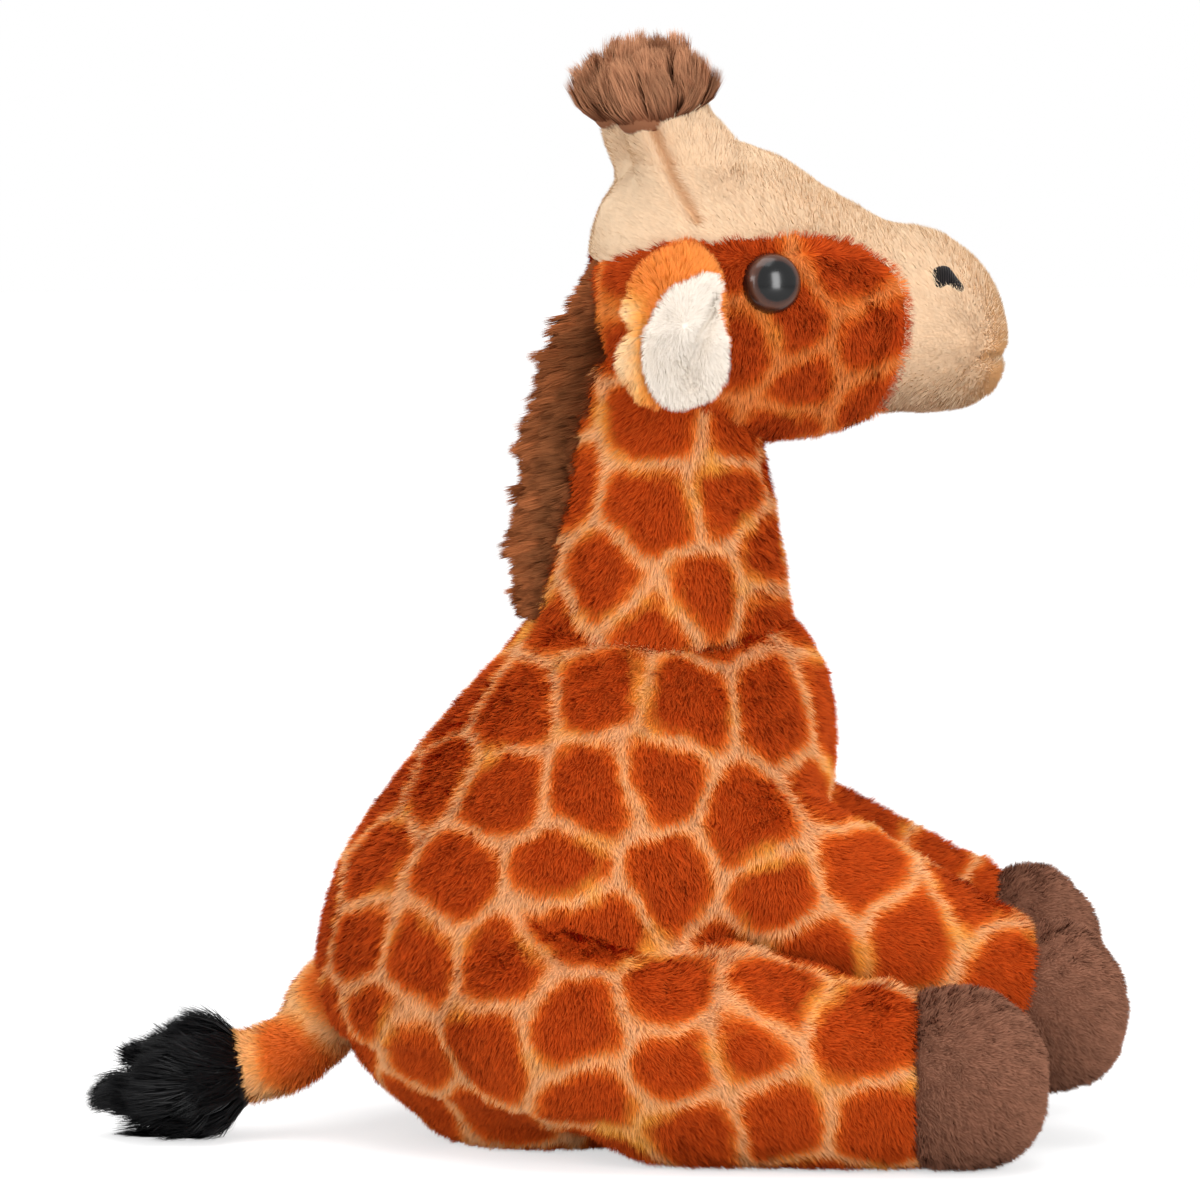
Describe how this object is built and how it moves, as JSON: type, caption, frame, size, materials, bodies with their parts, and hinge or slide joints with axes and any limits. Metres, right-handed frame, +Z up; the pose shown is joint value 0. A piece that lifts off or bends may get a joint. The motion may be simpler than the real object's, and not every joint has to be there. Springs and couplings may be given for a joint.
{
  "type": "plush giraffe",
  "caption": "Plush giraffe sitting upright, with stuffed body, neck, head and splayed legs, soft ears and horns, a mane and a tufted tail, resting on a flat seat panel.",
  "frame": {"origin": "on the surface it sits on, under the middle of the seat panel's floor contact, 12 mm ahead of the seat panel's centre", "axes": "+X the way the giraffe faces, +Y its left, +Z up"},
  "size_m": [0.2808, 0.1648, 0.2995],
  "materials": {
    "spotted_plush": "soft pile, rust patches on a tan orange ground",
    "tan_velour": "short soft pile",
    "muzzle_velour": "short soft pile",
    "mane_pile": "long ragged pile",
    "horn_tuft_pile": "long ragged pile",
    "hoof_plush": "short soft pile",
    "tail_pile": "long ragged pile",
    "ear_lining_plush": "short soft pile",
    "eye_plastic": "polished",
    "washer_plastic": "moulded",
    "nostril_thread": "satin stitch",
    "seat_fabric": "soft pile",
    "pellet_bag_fabric": "plain weave bag of small plastic pellets"
  },
  "bodies": {
    "torso_body": {"torso": "spotted_plush", "seat_panel": "seat_fabric", "pellet_bag": "pellet_bag_fabric"},
    "neck_body": {"neck": "spotted_plush", "mane_neck": "mane_pile"},
    "head_body": {"head": "spotted_plush", "face_panel": "muzzle_velour", "mane_head": "mane_pile", "eye_right": "eye_plastic", "eye_left": "eye_plastic", "eye_washer_right": "washer_plastic", "eye_washer_left": "washer_plastic", "nostril_right": "nostril_thread", "nostril_left": "nostril_thread", "horn_right": "tan_velour", "horn_left": "tan_velour", "horn_tuft_right": "horn_tuft_pile", "horn_tuft_left": "horn_tuft_pile"},
    "ear_right_body": {"ear_right": "spotted_plush", "ear_lining_right": "ear_lining_plush"},
    "ear_left_body": {"ear_left": "spotted_plush", "ear_lining_left": "ear_lining_plush"},
    "foreleg_right_body": {"foreleg_right": "spotted_plush", "fore_hoof_right": "hoof_plush", "fore_sole_right": "hoof_plush"},
    "foreleg_left_body": {"foreleg_left": "spotted_plush", "fore_hoof_left": "hoof_plush", "fore_sole_left": "hoof_plush"},
    "hind_leg_right_body": {"hind_leg_right": "spotted_plush", "hind_hoof_right": "hoof_plush", "hind_sole_right": "hoof_plush"},
    "hind_leg_left_body": {"hind_leg_left": "spotted_plush", "hind_hoof_left": "hoof_plush", "hind_sole_left": "hoof_plush"},
    "tail_body": {"tail": "spotted_plush", "tail_tuft": "tail_pile"}
  },
  "joints": [
    {"name": "neck_lean", "type": "hinge", "parent": "torso_body", "child": "neck_body", "pos_m": [0.0177, 0, 0.137], "axis": [0, 1, 0], "range_deg": [-5, 7], "stiffness_Nm_per_rad": 3},
    {"name": "head_nod", "type": "hinge", "parent": "neck_body", "child": "head_body", "pos_m": [0.0185, 0, 0.198], "axis": [-0.1219, 0.9925, 0], "range_deg": [-6, 12], "stiffness_Nm_per_rad": 1.5},
    {"name": "ear_right_lift", "type": "hinge", "parent": "head_body", "child": "ear_right_body", "pos_m": [0.02494, -0.03195, 0.239], "axis": [-0.8192, -0.5736, 0], "range_deg": [0, 110], "stiffness_Nm_per_rad": 0.02},
    {"name": "ear_left_lift", "type": "hinge", "parent": "head_body", "child": "ear_left_body", "pos_m": [0.01702, 0.03256, 0.239], "axis": [0.9336, -0.3584, 0], "range_deg": [-105, 5], "stiffness_Nm_per_rad": 0.02},
    {"name": "foreleg_right_lift", "type": "hinge", "parent": "torso_body", "child": "foreleg_right_body", "pos_m": [0.038, -0.033, 0.08], "axis": [0, -1, 0], "range_deg": [0, 30], "stiffness_Nm_per_rad": 1},
    {"name": "foreleg_left_lift", "type": "hinge", "parent": "torso_body", "child": "foreleg_left_body", "pos_m": [0.038, 0.033, 0.08], "axis": [0, -1, 0], "range_deg": [-6.5, 23.5], "stiffness_Nm_per_rad": 1},
    {"name": "hind_leg_right_spread", "type": "hinge", "parent": "torso_body", "child": "hind_leg_right_body", "pos_m": [-0.018, -0.046, 0.0372], "axis": [0, 0, -1], "range_deg": [0, 15], "stiffness_Nm_per_rad": 1},
    {"name": "hind_leg_left_spread", "type": "hinge", "parent": "torso_body", "child": "hind_leg_left_body", "pos_m": [-0.018, 0.046, 0.0372], "axis": [0, 0, 1], "range_deg": [0, 15], "stiffness_Nm_per_rad": 1},
    {"name": "tail_swing", "type": "hinge", "parent": "torso_body", "child": "tail_body", "pos_m": [-0.0665, 0, 0.037], "axis": [0, 0, 1], "range_deg": [-25, 25], "stiffness_Nm_per_rad": 0.1}
  ]
}
